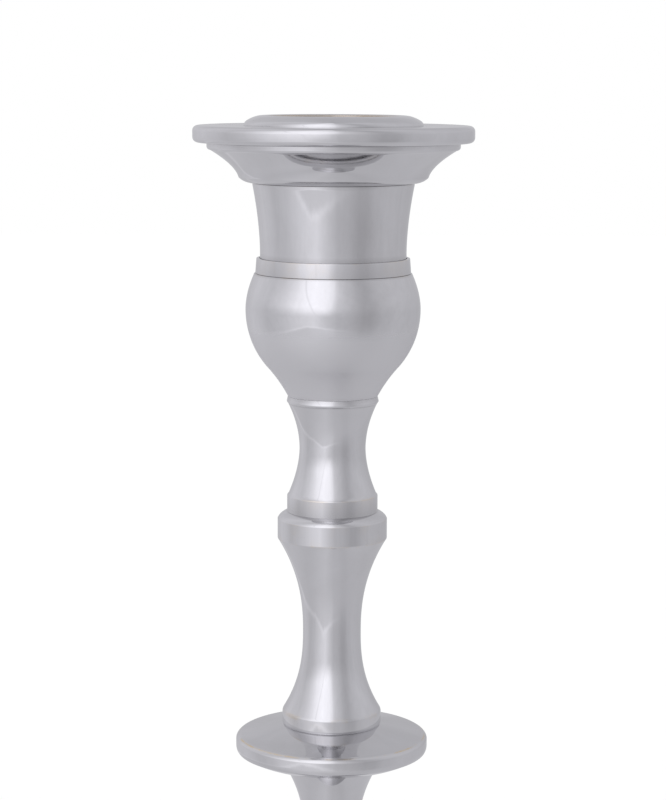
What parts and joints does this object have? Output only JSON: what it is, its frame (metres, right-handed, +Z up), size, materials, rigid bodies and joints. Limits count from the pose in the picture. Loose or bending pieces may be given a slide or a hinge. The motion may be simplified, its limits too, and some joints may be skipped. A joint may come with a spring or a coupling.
{
  "type": "candlestick",
  "caption": "Tall polished candlestick of turned sections on a tie rod, with a bulb socket, a low conical drip pan, a round foot and a nozzle with a candle cup that lifts out.",
  "frame": {"origin": "centre of the felt's lower face, which it stands on", "axes": "+Z up along the axis that every section is turned about; X and Y are alike"},
  "size_m": [0.092, 0.092, 0.23],
  "materials": {
    "nickel_cup": "polished nickel plate",
    "nickel_nozzle": "polished nickel plate",
    "nickel_socket": "polished nickel plate",
    "nickel_stem": "polished nickel plate",
    "nickel_pan": "polished nickel plate",
    "nickel_foot": "polished nickel plate",
    "steel_rod": "threaded, zinc-bright",
    "steel_washer": "stamped",
    "brass_nut": "turned",
    "felt": "dark green felt"
  },
  "bodies": {
    "stand": {"felt_pad": "felt", "foot": "nickel_foot", "knop": "nickel_stem", "lower_spool": "nickel_stem", "drip_pan": "nickel_pan", "middle_spool": "nickel_stem", "upper_spool": "nickel_stem", "socket_bulb": "nickel_socket", "socket_band": "nickel_socket", "socket_neck": "nickel_socket", "tie_rod": "steel_rod", "socket_washer": "steel_washer", "socket_nut": "brass_nut", "foot_washer": "steel_washer", "foot_nut": "brass_nut"},
    "lift_out": {"nozzle": "nickel_nozzle", "candle_cup": "nickel_cup"}
  },
  "joints": [
    {"name": "nozzle_lift", "type": "slide", "parent": "stand", "child": "lift_out", "axis": [0, 0, 1], "range_m": [0, 0.03]}
  ]
}
